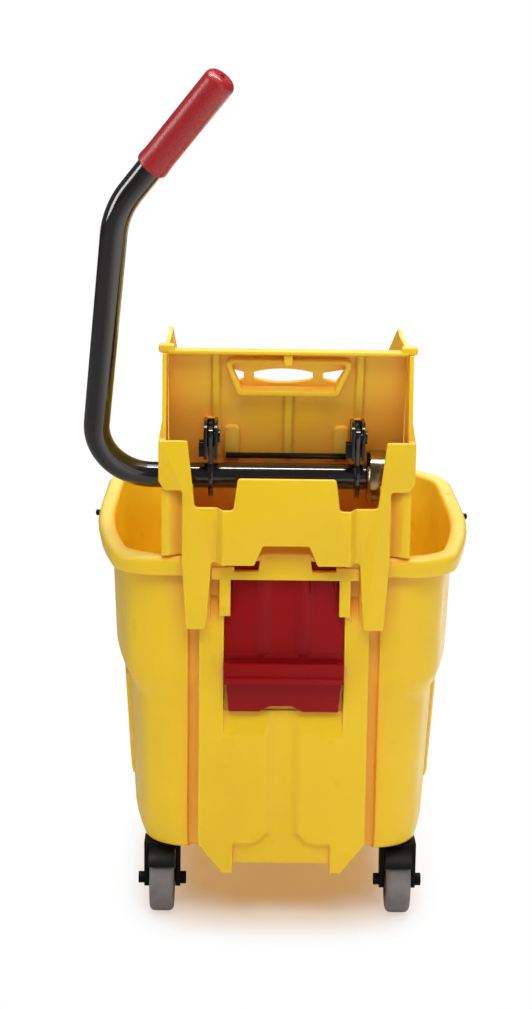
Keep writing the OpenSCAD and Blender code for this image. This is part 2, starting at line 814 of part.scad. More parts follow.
module press_plate() {
    gusset_top_z = shaft_z + rod_rise + gusset_h;
    gusset_low_z = shaft_z + rod_rise - rod_d;
    color(yellow) difference() {
        union() {
            along_x(-plate_x, plate_x) plate_strip(plate_low_z, plate_top_z, 0, plate_t);
            // top flange, and the ears that run on the side walls
            box([-plate_x, plate_top_y - plate_flange, plate_top_z - plate_flange_t],
                [plate_x, plate_top_y + plate_t, plate_top_z]);
            both_sides()
                box([plate_x - ear_len / 2, plate_top_y - plate_flange, side_top_z + slip],
                    [side_x + ear_out, plate_top_y - plate_flange + ear_len, side_top_z + slip + ear_h]);
            // the outer ribs end under the flange and the middle one under the hand hole
            for (x = rib_xs)
                along_x(x - rib_t / 2, x + rib_t / 2)
                    plate_strip(shaft_z + rod_rise,
                                x == 0 ? hole_low_z - collar_w : plate_top_z - plate_flange_t,
                                rib_depth, slip);
            both_sides() intersection() {
                along_y(2 * plate_top_y, 0)
                    polygon([[gusset_x, gusset_top_z], [gusset_x + gusset_w, gusset_top_z],
                             [gusset_x + gusset_low_w, gusset_low_z], [gusset_x, gusset_low_z]]);
                along_x(-plate_x, plate_x) plate_strip(gusset_low_z, gusset_top_z, gusset_depth, slip);
            }
            for (x = [crank_left_x, crank_right_x])
                intersection() {
                    box([x - pad_w / 2, -pad_front, shaft_z + pad_low_rise],
                        [x + pad_w / 2, 0, shaft_z + pad_high_rise]);
                    along_x(-plate_x, plate_x) plate_strip(plate_low_z, plate_top_z, pad_front, slip);
                }
        }
        along_y(2 * plate_top_y, 0) hand_hole(collar_w);
        translate([0, plate_y(shaft_z + rod_rise) - rod_front, shaft_z + rod_rise])
            rod_x(-gusset_x - gusset_w, gusset_x + gusset_w, rod_d / 2);
        for (x = [crank_left_x, crank_right_x]) for (rise = screw_rises)
            translate([x, screw_len - pad_front, shaft_z + rise]) rotate([90, 0, 0])
                cylinder(h = screw_len + over, d = screw_d);
    }
}

// Collar in the press plate's hand hole: a tray with three windows in its back, parted by two bars
module hand_frame() {
    color(yellow) difference() {
        intersection() {
            along_x(-plate_x, plate_x) plate_strip(plate_low_z, plate_top_z, collar_depth, plate_t);
            along_y(2 * plate_top_y, 0) hand_hole(collar_w);
        }
        intersection() {
            along_x(-plate_x, plate_x) plate_strip(plate_low_z, plate_top_z, collar_depth + over, 0);
            along_y(2 * plate_top_y, 0) hand_hole(0);
        }
        along_y(2 * plate_top_y, 0) difference() {
            hand_hole(0);
            for (s = [-1, 1])
                translate([hole_bar_off + (s * (hole_mid_w + hole_bar_w) - hole_bar_w) / 2,
                           hole_low_z - over])
                    square([hole_bar_w, hole_h + 2 * over]);
        }
    }
}

// Yoke: a base on the plate's pad and two cheeks, each with an upright slot for the crank pin
module yoke(x) {
    cheek_in = crank_t / 2 + cheek_gap;
    base_y = -pad_front;
    slot_low_z = pin_z - slot_drop;
    color(black) translate([x, 0, 0]) difference() {
        union() {
            box([-yoke_base_w / 2, base_y - yoke_base_t, shaft_z + pad_low_rise + slip],
                [yoke_base_w / 2, base_y, shaft_z + pad_high_rise - slip]);
            for (s = [0, 1]) mirror([s, 0, 0]) along_x(cheek_in, cheek_in + cheek_t) {
                polygon([[base_y, shaft_z + cheek_low_rise], [pin_y - cheek_nose, shaft_z + cheek_low_rise],
                         [pin_y - cheek_nose, pin_z], [pin_y, pin_z + cheek_top],
                         [base_y, pin_z + cheek_top]]);
                intersection() {
                    translate([pin_y, pin_z]) circle(r = cheek_top);
                    translate([pin_y - cheek_nose, pin_z]) square(cheek_top);
                }
            }
            box([-cheek_in - cheek_t - boss_w, pin_y - boss_len / 2, shaft_z + boss_rise],
                [-cheek_in - cheek_t, pin_y + boss_len / 2 + slot_lead, shaft_z + boss_rise + boss_h]);
        }
        along_x(-cheek_in - cheek_t - boss_w - over, cheek_in + cheek_t + over)
            translate([pin_y - pin_d / 2 - slot_lag, slot_low_z - pin_d / 2])
                square([pin_d + slot_lag + slot_lead, slot_drop + pin_d + slot_rise]);
        for (rise = screw_rises) translate([0, base_y + over, shaft_z + rise])
            rotate([90, 0, 0]) cylinder(h = yoke_base_t + 2 * over, d = screw_d);
    }
}

module yoke_left() {
    yoke(crank_left_x);
}

module yoke_right() {
    yoke(crank_right_x);
}

module yoke_screws() {
    color("silver") for (x = [crank_left_x, crank_right_x]) for (rise = screw_rises)
        translate([x, screw_len - pad_front, shaft_z + rise]) rotate([90, 0, 0]) {
            cylinder(h = screw_len + yoke_base_t, d = screw_d);
            translate([0, 0, screw_len + yoke_base_t]) cylinder(h = screw_head_h, d = screw_head_d);
        }
}

module tie_rod() {
    color(black) translate([0, plate_y(shaft_z + rod_rise) - rod_front, shaft_z + rod_rise])
        rod_x(-gusset_x - gusset_w, gusset_x + gusset_w, rod_d / 2);
}

// Handle: drawn in its own plane, x across and y up from the shaft, then leaned
module in_handle_plane() {
    translate([0, shaft_y, shaft_z]) rotate([90 + handle_lean, 0, 0]) children();
}

// Corner points of the handle's centre line in that plane, and the lengths that its bends use up
low_turn = 90 + lever_tilt;
high_turn = grip_tilt - lever_tilt;
low_cut = bend_low_r * tan(low_turn / 2);
high_cut = bend_high_r * tan(high_turn / 2);
lever_top = [lever_len * tan(lever_tilt) - lever_foot_x, lever_len];

// Handle: straight runs, bends, and a thin bead where they meet
module straight(length, r) {
    rotate([-90, 0, 0]) cylinder(h = length, r = r);
}

module bend(bend_r, turn, r) {
    translate([bend_r, 0, 0]) rotate([0, 0, 180 - turn]) rotate_extrude(angle = turn)
        translate([bend_r, 0]) circle(r = r);
}

module bead(r) {
    translate([0, -bead_len / 2, 0]) straight(bead_len, r + bead_rise);
}

// The whole centre line with radius r; its two ends run on by extra
module handle_path(r, extra) {
    lever_run = lever_len / cos(lever_tilt) - low_cut - high_cut;
    grip_run = grip_reach - high_cut - 2 * grip_lip;
    translate([low_cut - lever_foot_x, 0, 0]) {
        rotate([0, 0, -90]) straight(shaft_right_x + lever_foot_x - low_cut + extra, r);
        rotate([0, 0, 90]) bead(r);
        rotate([0, 0, 90]) bend(bend_low_r, low_turn, r);
    }
    translate([-lever_foot_x, 0, 0]) rotate([0, 0, -lever_tilt]) translate([0, low_cut, 0]) {
        bead(r);
        straight(lever_run, r);
        translate([0, lever_run, 0]) {
            bead(r);
            bend(bend_high_r, high_turn, r);
            translate([bend_high_r, 0, 0]) rotate([0, 0, -high_turn]) translate([-bend_high_r, 0, 0]) {
                bead(r);
                straight(grip_run + extra, r);
            }
        }
    }
}

module handle_tube() {
    color(black) in_handle_plane() difference() {
        handle_path(tube_r, 0);
        handle_path(tube_r - tube_t, over);
    }
}

// Runs its children from the upper corner along the grip's direction
module along_grip() {
    in_handle_plane() translate(lever_top) rotate([0, 0, -grip_tilt]) rotate([-90, 0, 0]) children();
}

module handle_grip() {
    r = grip_d / 2;
    start = grip_reach - grip_len;
    tube_end = grip_reach - 2 * grip_lip;
    body_r = r - grip_rib_depth;
    dome = grip_reach - grip_round;
    color(red) along_grip() rotate_extrude()
        difference() {
            union() {
                polygon([[0, start], [r - grip_lip / 2, start], [r, start + grip_lip / 2],
                         [r, start + grip_lip], [body_r, start + 2 * grip_lip], [body_r, dome], [0, dome]]);
                translate([0, dome]) square([body_r - grip_round, grip_round]);
                translate([body_r - grip_round, dome]) intersection() {
                    circle(r = grip_round);
                    square(grip_round);
                }
            }
            translate([-over, start - over]) square([tube_r + over, tube_end - start + over]);
            translate([-over, grip_reach - grip_hole_depth])
                square([grip_hole_d / 2 + over, grip_hole_depth + over]);
        }
}

module crank(x) {
    color(black) in_handle_plane() translate([x - crank_t / 2, 0, 0]) rotate([0, 90, 0])
        linear_extrude(crank_t) difference() {
            union() {
                circle(r = crank_hub_r);
                translate([-crank_eye_r, 0]) square([2 * crank_eye_r, crank_r]);
                translate([0, crank_r]) circle(r = crank_eye_r);
            }
            circle(r = tube_r);
            translate([0, crank_r]) circle(d = pin_d);
        }
}

module crank_left() {
    crank(crank_left_x);
}

module crank_right() {
    crank(crank_right_x);
}

module crank_pins() {
    reach = crank_t / 2 + cheek_gap + cheek_t + slip;
    color(black) for (x = [crank_left_x, crank_right_x]) translate([x, pin_y, pin_z]) {
        rod_x(-reach, reach, pin_d / 2);
        rod_x(reach, reach + pin_head_h, pin_head_d / 2);
    }
}

module shaft_drum() {
    r = drum_d / 2;
    color("slategray") translate([drum_x, shaft_y, shaft_z]) rotate([0, 90, 0]) rotate_extrude()
        polygon([[tube_r, 0], [r - drum_round, 0], [r, drum_round], [r, drum_w - drum_round],
                 [r - drum_round, drum_w], [tube_r, drum_w]]);
}

bucket();
bucket_panel();
front_insert();
rim_pegs();
caster_sockets();
caster_fork(0);  // caster_fork_fl
caster_fork(1);  // caster_fork_fr
caster_fork(2);  // caster_fork_rl
caster_fork(3);  // caster_fork_rr
wheel_tyre(0);  // wheel_tyre_fl
wheel_tyre(1);  // wheel_tyre_fr
wheel_tyre(2);  // wheel_tyre_rl
wheel_tyre(3);  // wheel_tyre_rr
wheel_hub(0);  // wheel_hub_fl
wheel_hub(1);  // wheel_hub_fr
wheel_hub(2);  // wheel_hub_rl
wheel_hub(3);  // wheel_hub_rr
wheel_axle(0);  // wheel_axle_fl
wheel_axle(1);  // wheel_axle_fr
wheel_axle(2);  // wheel_axle_rl
wheel_axle(3);  // wheel_axle_rr
wringer_frame();
wringer_apron();
wringer_floor();
wringer_back();
shaft_bush_left();
shaft_bush_right();
press_plate();
hand_frame();
yoke_left();
yoke_right();
yoke_screws();
tie_rod();
handle_tube();
handle_grip();
crank_left();
crank_right();
crank_pins();
shaft_drum();
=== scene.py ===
"""Mop bucket with a side press wringer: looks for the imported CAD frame.

Shapes are in millimetres; materials, stage and camera are in metres."""

import math

import bmesh
import bpy
from mathutils import Matrix, Vector


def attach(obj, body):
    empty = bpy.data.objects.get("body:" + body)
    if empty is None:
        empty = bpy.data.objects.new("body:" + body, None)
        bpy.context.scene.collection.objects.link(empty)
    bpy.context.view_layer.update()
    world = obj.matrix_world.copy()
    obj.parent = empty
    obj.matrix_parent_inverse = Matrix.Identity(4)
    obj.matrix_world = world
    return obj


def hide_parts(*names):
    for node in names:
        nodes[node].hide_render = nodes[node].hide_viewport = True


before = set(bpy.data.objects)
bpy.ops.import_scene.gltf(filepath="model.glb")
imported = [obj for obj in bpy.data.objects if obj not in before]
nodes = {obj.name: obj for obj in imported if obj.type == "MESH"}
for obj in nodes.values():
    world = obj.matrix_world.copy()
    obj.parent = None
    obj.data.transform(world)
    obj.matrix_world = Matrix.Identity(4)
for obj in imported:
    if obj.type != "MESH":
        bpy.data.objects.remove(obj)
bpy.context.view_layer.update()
scene = bpy.context.scene

MM = 0.001
SHARP_ANGLE, BEVEL_ANGLE = 34.0, 32.0

# bucket: size over the rim, corner radii, how the front and back walls follow the sides' slope, wall thickness
RIM_HALF_W, RIM_FRONT, RIM_BACK = 198, 245, 250
FRONT_CORNER_R, BACK_CORNER_R = 38, 112
FRONT_SHARE, BACK_SHARE = 0.55, 1.1
FRONT_SET, BACK_SET = 4.6, 7
WALL, FRONT_WALL = 4, 12
# inset of the side walls from the rim: (height, inset)
INSETS = [(40, 42), (77, 40), (233, 32), (258, 19.5), (345, 16), (384, 12.8), (420, 10)]
# field behind the front panel: depth, and (x, share of the depth) from its outer edge inwards
GROOVE_DEPTH = 7.0
GROOVE = [(97, 0), (95.8, 0.03), (95.2, 0.16), (94.9, 0.5), (94.6, 0.84), (94.0, 0.97), (92.8, 1), (88, 1),
          (82, 1), (60, 1), (30, 0.5)]
PANEL_Y = -240

# casters: swivel axes seen from above, wheel size and how far the axle trails
SWIVELS = {"fl": (-121.5, -176), "fr": (121.5, -176), "rl": (-108, 128), "rr": (108, 128)}
WHEEL_R, HUB_R, TRAIL = 34, 22, 17

# cross shaft, cranks and the slanted press plate
SHAFT_Y, SHAFT_Z = -205, 461.5
CRANK_XS = (-74.5, 69.5)
PLATE_HALF_W, PLATE_Y = 116.5, -175
PLATE_SLOPE, PLATE_COS, PLATE_SIN = 0.3137, 0.954, 0.2994

# lever: lean of its plane, tilts of its two straights in that plane (degrees), tube, bends and lengths
LEAN, LEVER_TILT, GRIP_TILT = 22, 6, 36.7
TUBE_R, TUBE_BORE_R = 12.7, 10.7
SHAFT_END_X, LEVER_X, BEND_HEIGHT, TOP_LENGTH = 119.5, -191.5, 287, 156
LOW_BEND_R, HIGH_BEND_R = 54.0, 90.0

# materials: refraction of plastic, how far red, green and blue light spread in it, and fixed colours
PLASTIC_IOR = 1.48
SCATTER = (0.010, 0.0045, 0.0008)
BARE_METAL = (0.35, 0.34, 0.32, 1.0)
WHITE = (1.0, 1.0, 1.0, 1.0)


def lighter(rgb, k):
    """The colour times k, as RGBA."""
    return (min(1.0, rgb[0] * k), min(1.0, rgb[1] * k), min(1.0, rgb[2] * k), 1.0)


class Nodes:
    """Small helper that makes a material and adds and links its shader nodes."""

    def __init__(self, name):
        self.material = bpy.data.materials.new(name)
        self.material.use_nodes = True
        self.tree = self.material.node_tree
        self.shader = self.tree.nodes["Principled BSDF"]
        self.output = self.tree.nodes["Material Output"]
        self.coords = self.add("ShaderNodeTexCoord").outputs["Object"]

    def feed(self, socket, value):
        """Links the value to the socket if it is a socket itself, or else sets it."""
        if isinstance(value, bpy.types.NodeSocket):
            self.tree.links.new(value, socket)
        else:
            socket.default_value = value

    def add(self, kind, inputs=None, **props):
        node = self.tree.nodes.new(kind)
        for key, value in props.items():
            setattr(node, key, value)
        for key, value in (inputs or {}).items():
            self.feed(node.inputs[key], value)
        return node

    def surface(self, inputs):
        """Feeds the inputs of the surface shader."""
        for key, value in inputs.items():
            self.feed(self.shader.inputs[key], value)

    def calc(self, operation, *values):
        return self.add("ShaderNodeMath", dict(enumerate(values)), operation=operation).outputs[0]

    def noise(self, scale, detail=3.0, rough=0.5, stretch=None):
        where = self.coords
        if stretch:
            where = self.add("ShaderNodeMapping", {"Vector": where, "Scale": stretch}).outputs["Vector"]
        return self.add("ShaderNodeTexNoise", {"Vector": where, "Scale": scale, "Detail": detail,
                                               "Roughness": rough}).outputs["Fac"]

    def ramp(self, fac, low, high, a=0.0, b=1.0):
        return self.add("ShaderNodeMapRange", {"Value": fac, "From Min": low, "From Max": high,
                                               "To Min": a, "To Max": b}).outputs["Result"]

    def mix(self, fac, a, b):
        node = self.add("ShaderNodeMix", data_type="RGBA", blend_type="MIX")
        for index, value in ((0, fac), (6, a), (7, b)):
            self.feed(node.inputs[index], value)
        return node.outputs[2]

    def bump(self, height, strength, distance, normal=None):
        inputs = {"Height": height, "Strength": strength, "Distance": distance}
        if normal:
            inputs["Normal"] = normal
        return self.add("ShaderNodeBump", inputs).outputs["Normal"]


def plastic(name, rgb, rough, grain=900.0, depth=0.00012, edge=1.12, sss=0.0, scuff=0.03, shine=0.5, painted_shades=None):
    """Moulded plastic: slow colour drift, fine grain, faint scuffs, edges a little paler from wear.

    Painted shades are two colours: painted shade in its corners and recesses, where ambient occlusion finds nearby
    walls, and painted light on its open upper faces."""
    n = Nodes(name)
    drift = n.noise(7.0, 2.0)
    colour = n.mix(n.ramp(drift, 0.35, 0.65), lighter(rgb, 0.965), lighter(rgb, 1.03))
    scratch = n.noise(60.0, 5.0, 0.65, (1.0, 1.0, 9.0))
    marks = n.ramp(scratch, 0.66, 0.78, 0.0, scuff)
    colour = n.mix(marks, colour, lighter(rgb, 1.25))
    worn = n.add("ShaderNodeNewGeometry").outputs["Pointiness"]
    colour = n.mix(n.ramp(worn, 0.515, 0.56, 0.0, 0.5), colour, lighter(rgb, edge))
    # painted shade: where ambient occlusion finds nearby surfaces the colour turns to the recess colour, and open
    # upward faces turn paler as painted light
    if painted_shades:
        painted_recess_shade, painted_top_light = painted_shades
        openness = n.add("ShaderNodeAmbientOcclusion", {"Distance": 0.10}, samples=16).outputs["AO"]
        clear = n.ramp(openness, 0.45, 0.9)
        normal = n.add("ShaderNodeNewGeometry").outputs["Normal"]
        facing = n.add("ShaderNodeSeparateXYZ", {0: normal}).outputs["Z"]
        upper = n.calc("MULTIPLY", n.ramp(facing, 0.35, 0.95, 0.0, 0.8), clear)
        colour = n.mix(clear, painted_recess_shade, n.mix(upper, colour, painted_top_light))
    fine = n.bump(n.noise(grain, 2.0), 0.35, depth)
    n.surface({"Base Color": colour,
               "Roughness": n.ramp(n.noise(22.0, 4.0), 0.3, 0.7, rough - 0.05, rough + 0.07),
               "Normal": n.bump(scratch, 0.4 * scuff, 0.0003, fine),
               "IOR": PLASTIC_IOR, "Specular IOR Level": shine})
    if sss:
        n.surface({"Subsurface Weight": sss, "Subsurface Radius": SCATTER, "Subsurface Scale": 1.0})
    return n.material


def coated_steel(name, rgb, rough, chip):
    """Powder coat: orange-peel grain, soft dust, and small chips that show grey metal."""
    n = Nodes(name)
    dust = n.ramp(n.noise(18.0, 5.0, 0.6), 0.45, 0.75, 0.0, 0.5)
    colour = n.mix(dust, lighter(rgb, 1.0), lighter(rgb, 1.9))
    chips = n.ramp(n.noise(170.0, 3.0, 0.55), 0.735, 0.76, 0.0, chip)
    patch = n.ramp(n.noise(9.0, 1.0), 0.52, 0.60)
    n.surface({"Base Color": n.mix(n.calc("MULTIPLY", chips, patch), colour, BARE_METAL),
               "Roughness": n.ramp(n.noise(30.0, 4.0), 0.3, 0.7, rough - 0.03, rough + 0.05),
               "Normal": n.bump(n.noise(520.0, 2.0), 0.2, 0.0002),
               "Specular IOR Level": 0.75, "Coat Weight": 0.5, "Coat Roughness": 0.06})
    return n.material


def plain_steel(name, rgb, rough):
    """Bare metal with faint streaks."""
    n = Nodes(name)
    streak = n.noise(140.0, 4.0, 0.6, (0.06, 1.0, 1.0))
    n.surface({"Base Color": n.mix(n.ramp(streak, 0.3, 0.7), lighter(rgb, 0.85), lighter(rgb, 1.1)),
               "Roughness": n.ramp(streak, 0.3, 0.7, rough - 0.06, rough + 0.1),
               "Normal": n.bump(streak, 0.12, 0.0002), "Metallic": 1.0})
    return n.material


def rubber(name, rgb, rough):
    """Dull rubber with darker, duller patches of dirt."""
    n = Nodes(name)
    dirt = n.ramp(n.noise(45.0, 5.0, 0.65), 0.42, 0.72)
    n.surface({"Base Color": n.mix(dirt, lighter(rgb, 1.06), lighter(rgb, 0.8)),
               "Roughness": n.ramp(dirt, 0.0, 1.0, rough - 0.06, rough + 0.08),
               "Normal": n.bump(n.noise(650.0, 3.0), 0.4, 0.0003)})
    return n.material


# its two painted colours: orange painted shade for recesses and pale painted light for upward faces
YELLOW = plastic("yellow_plastic", (0.96, 0.625, 0.015), 0.32, edge=1.05, sss=0.15, scuff=0.0, shine=0.36,
                 painted_shades=((0.99, 0.535, 0.065, 1.0), (0.97, 0.74, 0.20, 1.0)))
RED = plastic("red_plastic", (0.30, 0.004, 0.0055), 0.40, grain=700.0, scuff=0.06, shine=0.16)
GRIP = plastic("red_grip", (0.42, 0.016, 0.02), 0.28, grain=260.0, depth=0.0007, scuff=0.10, shine=0.6)
STEEL_BLACK = coated_steel("black_steel", (0.010, 0.0085, 0.008), 0.12, 0.4)
GLOSS = plastic("gloss_black_plastic", (0.006, 0.0055, 0.005), 0.14, grain=500.0, edge=2.0, scuff=0.05,
                shine=0.6)
BLACK = plastic("black_plastic", (0.006, 0.0055, 0.005), 0.38, grain=600.0, edge=2.0, scuff=0.04, shine=0.08)
NATURAL = plastic("natural_plastic", (0.62, 0.57, 0.45), 0.45)
ZINC = plain_steel("zinc_steel", (0.50, 0.50, 0.50), 0.34)
# the drum's brownish colour is painted reflection of the yellow plastic around it
DRUM = plain_steel("drum_steel", (0.44, 0.34, 0.19), 0.18)
RUBBER = rubber("grey_rubber", (0.205, 0.186, 0.18), 0.62)
HUB = plastic("grey_plastic", (0.10, 0.095, 0.09), 0.5)


def finish_mesh(name, bm, material, body):
    """Makes an object in metres from a bmesh in millimetres and lets it ride on its body."""
    bmesh.ops.recalc_face_normals(bm, faces=bm.faces)
    bmesh.ops.scale(bm, vec=(MM, MM, MM), verts=bm.verts)
    mesh = bpy.data.meshes.new(name)
    bm.to_mesh(mesh)
    bm.free()
    mesh.polygons.foreach_set("use_smooth", [True] * len(mesh.polygons))
    mesh.set_sharp_from_angle(angle=math.radians(SHARP_ANGLE))
    mesh.materials.append(material)
    obj = bpy.data.objects.new(name, mesh)
    scene.collection.objects.link(obj)
    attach(obj, body)
    return obj


def bevel(bm, edges, width, segments=3, clamp=True):
    bmesh.ops.bevel(bm, geom=edges, offset=width, segments=segments, profile=0.5, affect="EDGES",
                    clamp_overlap=clamp)


def round_edges(bm, width, segments=3, clamp=True):
    """Bevels every edge sharper than the bevel angle."""
    limit = math.radians(BEVEL_ANGLE)
    edges = [e for e in bm.edges if len(e.link_faces) == 2 and e.calc_face_angle(0.0) > limit]
    bevel(bm, edges, width, segments, clamp)


def join_loops(bm, loops):
    """Faces between each loop of vertices and the next one."""
    for a, b in zip(loops, loops[1:]):
        for i in range(len(a)):
            j = (i + 1) % len(a)
            bm.faces.new((a[i], a[j], b[j], b[i]))


def front(u, v, w):
    """Point of an outline drawn on the front, w along Y."""
    return (u, w, v)


def side(u, v, w):
    """Point of an outline drawn on the side, w along X."""
    return (w, u, v)


def rect(u0, v0, u1, v1):
    return [(u0, v0), (u1, v0), (u1, v1), (u0, v1)]


def mirrored(outline):
    return [(-u, v) for u, v in reversed(outline)]


def both(outline):
    """The outline and its mirror image."""
    return outline, mirrored(outline)


def prism(outline, place, low, high, width, segments=3, clamp=True):
    """The outline, run from low to high, with rounded edges; place(u, v, w) gives the point."""
    bm = bmesh.new()
    a = [bm.verts.new(place(u, v, low)) for u, v in outline]
    b = [bm.verts.new(place(u, v, high)) for u, v in outline]
    bm.faces.new(a)
    bm.faces.new(b[::-1])
    for i in range(len(outline)):
        j = (i + 1) % len(outline)
        bm.faces.new((a[i], b[i], b[j], a[j]))
    bmesh.ops.recalc_face_normals(bm, faces=bm.faces)
    if width:
        round_edges(bm, width, segments, clamp)
    return bm


def filleted(points, radius, steps=4):
    """The outline with its corners rounded; radius is one number, or one for each point."""
    out = []
    for i, p in enumerate(points):
        r = radius[i] if isinstance(radius, (list, tuple)) else radius
        p = Vector(p)
        a, b = Vector(points[i - 1]) - p, Vector(points[(i + 1) % len(points)]) - p
        length = min(r / math.tan(a.angle(b) / 2), 0.48 * a.length, 0.48 * b.length)
        start, end = p + a.normalized() * length, p + b.normalized() * length
        for k in range(steps + 1):
            t = k / steps
            q = start.lerp(p, t).lerp(p.lerp(end, t), t)
            out.append((q.x, q.y))
    return out


def ring_prism(outer, inner, place, low, high, width):
    """A frame between two outlines of equal length, run from low to high."""
    bm = bmesh.new()
    loops = [[bm.verts.new(place(u, v, w)) for u, v in outline]
             for outline, w in ((outer, low), (outer, high), (inner, high), (inner, low))]
    join_loops(bm, loops + loops[:1])
    bmesh.ops.recalc_face_normals(bm, faces=bm.faces)
    round_edges(bm, width, clamp=False)
    return bm


def slab(front_rows, back_rows, width=0.0):
    """Closed solid between two grids of points of the same size; width rounds the edge of the front grid."""
    bm = bmesh.new()
    f = [[bm.verts.new(p) for p in row] for row in front_rows]
    b = [[bm.verts.new(p) for p in row] for row in back_rows]
    n, m = len(f), len(f[0])
    for i in range(n - 1):
        for k in range(m - 1):
            bm.faces.new((f[i][k], f[i + 1][k], f[i + 1][k + 1], f[i][k + 1]))
            bm.faces.new((b[i][k], b[i][k + 1], b[i + 1][k + 1], b[i + 1][k]))
    rim = [(i, 0) for i in range(n)] + [(n - 1, k) for k in range(1, m)]
    rim += [(i, m - 1) for i in range(n - 2, -1, -1)] + [(0, k) for k in range(m - 2, 0, -1)]
    edges = []
    for (i, k), (p, q) in zip(rim, rim[1:] + rim[:1]):
        bm.faces.new((f[i][k], b[i][k], b[p][q], f[p][q]))
        edges.append(bm.edges.get((f[i][k], f[p][q])))
    bmesh.ops.recalc_face_normals(bm, faces=bm.faces)
    if width:
        bevel(bm, edges, width)
    return bm


def merge(parts):
    """Joins bmeshes into one; the parts may overlap."""
    whole = bmesh.new()
    for part in parts:
        mesh = bpy.data.meshes.new("part")
        part.to_mesh(mesh)
        part.free()
        whole.from_mesh(mesh)
        bpy.data.meshes.remove(mesh)
    return whole


def circle(r, k, steps):
    """Point k of a circle of so many steps."""
    return r * math.cos(2 * math.pi * k / steps), r * math.sin(2 * math.pi * k / steps)


def lathe(profile, steps, closed=False):
    """Turns (radius, height) points about the Z axis. An open profile starts and ends on the axis."""
    bm = bmesh.new()
    rings = []
    for r, h in profile:
        if r < 1e-6:
            rings.append([bm.verts.new((0, 0, h))] * steps)
        else:
            rings.append([bm.verts.new((*circle(r, i, steps), h)) for i in range(steps)])
    if closed:
        rings.append(rings[0])
    for a, b in zip(rings, rings[1:]):
        for i in range(steps):
            j = (i + 1) % steps
            corners = []
            for v in (a[i], a[j], b[j], b[i]):
                if v not in corners:
                    corners.append(v)
            if len(corners) > 2:
                bm.faces.new(corners)
    return bm


def arc(cx, cy, r, start, end, steps):
    """Points of an arc between two angles in degrees."""
    angles = [math.radians(start + (end - start) * i / steps) for i in range(steps + 1)]
    return [(cx + r * math.cos(a), cy + r * math.sin(a)) for a in angles]


def loft(rings):
    """Closed skin through rings of equal length, capped at both ends."""
    bm = bmesh.new()
    rows = [[bm.verts.new(p) for p in ring] for ring in rings]
    join_loops(bm, rows)
    bm.faces.new(rows[0][::-1])
    bm.faces.new(rows[-1])
    bmesh.ops.recalc_face_normals(bm, faces=bm.faces)
    return bm


def cut(bm, cutters):
    """Subtracts closed bmeshes from a closed bmesh."""
    def temp(part):
        mesh = bpy.data.meshes.new("temp")
        part.to_mesh(mesh)
        part.free()
        obj = bpy.data.objects.new("temp", mesh)
        scene.collection.objects.link(obj)
        return obj

    target = temp(bm)
    tools = [temp(c) for c in cutters]
    for tool in tools:
        modifier = target.modifiers.new("cut", "BOOLEAN")
        modifier.operation = "DIFFERENCE"
        modifier.solver = "EXACT"
        modifier.object = tool
    graph = bpy.context.evaluated_depsgraph_get()
    mesh = bpy.data.meshes.new_from_object(target.evaluated_get(graph))
    out = bmesh.new()
    out.from_mesh(mesh)
    bpy.data.meshes.remove(mesh)
    for obj in [target] + tools:
        data = obj.data
        bpy.data.objects.remove(obj)
        bpy.data.meshes.remove(data)
    return out


def cad_mesh(node):
    """A CAD node's mesh in millimetres, with its triangles joined into flat faces."""
    bm = bmesh.new()
    bm.from_mesh(nodes[node].data)
    bmesh.ops.scale(bm, vec=(1 / MM, 1 / MM, 1 / MM), verts=bm.verts)
    bmesh.ops.remove_doubles(bm, verts=bm.verts, dist=0.01)
    bmesh.ops.dissolve_limit(bm, angle_limit=math.radians(0.4), use_dissolve_boundaries=False,
                             verts=bm.verts, edges=bm.edges)
    return bm


def rounded(node, material, body, width, segments=3):
    """A CAD node with rounded edges, in place of the plain node."""
    bm = cad_mesh(node)
    round_edges(bm, width, segments)
    obj = finish_mesh(node + "_moulded", bm, material, body)
    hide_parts(node)


def along(table, x):
    """Straight-line value of the table at x."""
    for (x0, a), (x1, b) in zip(table, table[1:]):
        if x <= x1:
            return a + (b - a) * (x - x0) / (x1 - x0)
    return table[-1][1]


def soft(x, inner, outer):
    """1 inside, 0 outside, smooth between."""
    t = min(1.0, max(0.0, (outer - abs(x)) / (outer - inner)))
    return t * t * (3 - 2 * t)


def smooth_inset(z):
    """Inset of the side walls from the rim at height z, with its corners rounded."""
    return sum(along(INSETS, z + 6 * (k / 8 - 1)) for k in range(17)) / 17


def bow(y):
    """How far the side walls draw in towards the front."""
    return 34 * (min(0.0, y) / RIM_FRONT) ** 2


def bucket_ring(side_in, front_in, back_in, z, groove=0.0):
    """Outline at height z, drawn in from the rim's size; groove is the depth of the field behind the panel."""
    w, f, b = RIM_HALF_W - side_in, RIM_FRONT - front_in, RIM_BACK - back_in
    rf, rb = FRONT_CORNER_R - 0.1 * side_in, BACK_CORNER_R - 0.4 * side_in
    half = arc(w - rf, rf - f, rf, -90, 0, 14)
    half += [(w, rf - f + (b - rb - rf + f) * k / 9) for k in range(1, 9)]
    half += arc(w - rb, b - rb, rb, 0, 90, 20)
    half = [(x - bow(y), y) for x, y in half]
    k = min(1.0, (half[0][0] - 0.4) / GROOVE[0][0])
    half = [(x * k, groove * share - f) for x, share in reversed(GROOVE)] + half
    points = [(0, 0.5 * groove - f)] + half + mirrored(half)
    return [(x, y, z) for x, y in points]


def wall_ring(z, extra=0.0, groove=GROOVE_DEPTH):
    """Outside of the walls at height z, drawn in by extra."""
    i = smooth_inset(z)
    return bucket_ring(i + extra, FRONT_SHARE * i + FRONT_SET + extra, BACK_SHARE * i + BACK_SET + extra, z, groove)


def inner_insets(z):
    """Insets of the walls' inside at the sides, front and back."""
    i = smooth_inset(z)
    return i + WALL, FRONT_SHARE * i + FRONT_SET + FRONT_WALL, BACK_SHARE * i + BACK_SET + WALL


def inner_ring(z, extra=0.0):
    """Inside of the walls at height z, drawn in by extra."""
    return bucket_ring(*(inset + extra for inset in inner_insets(z)), z)


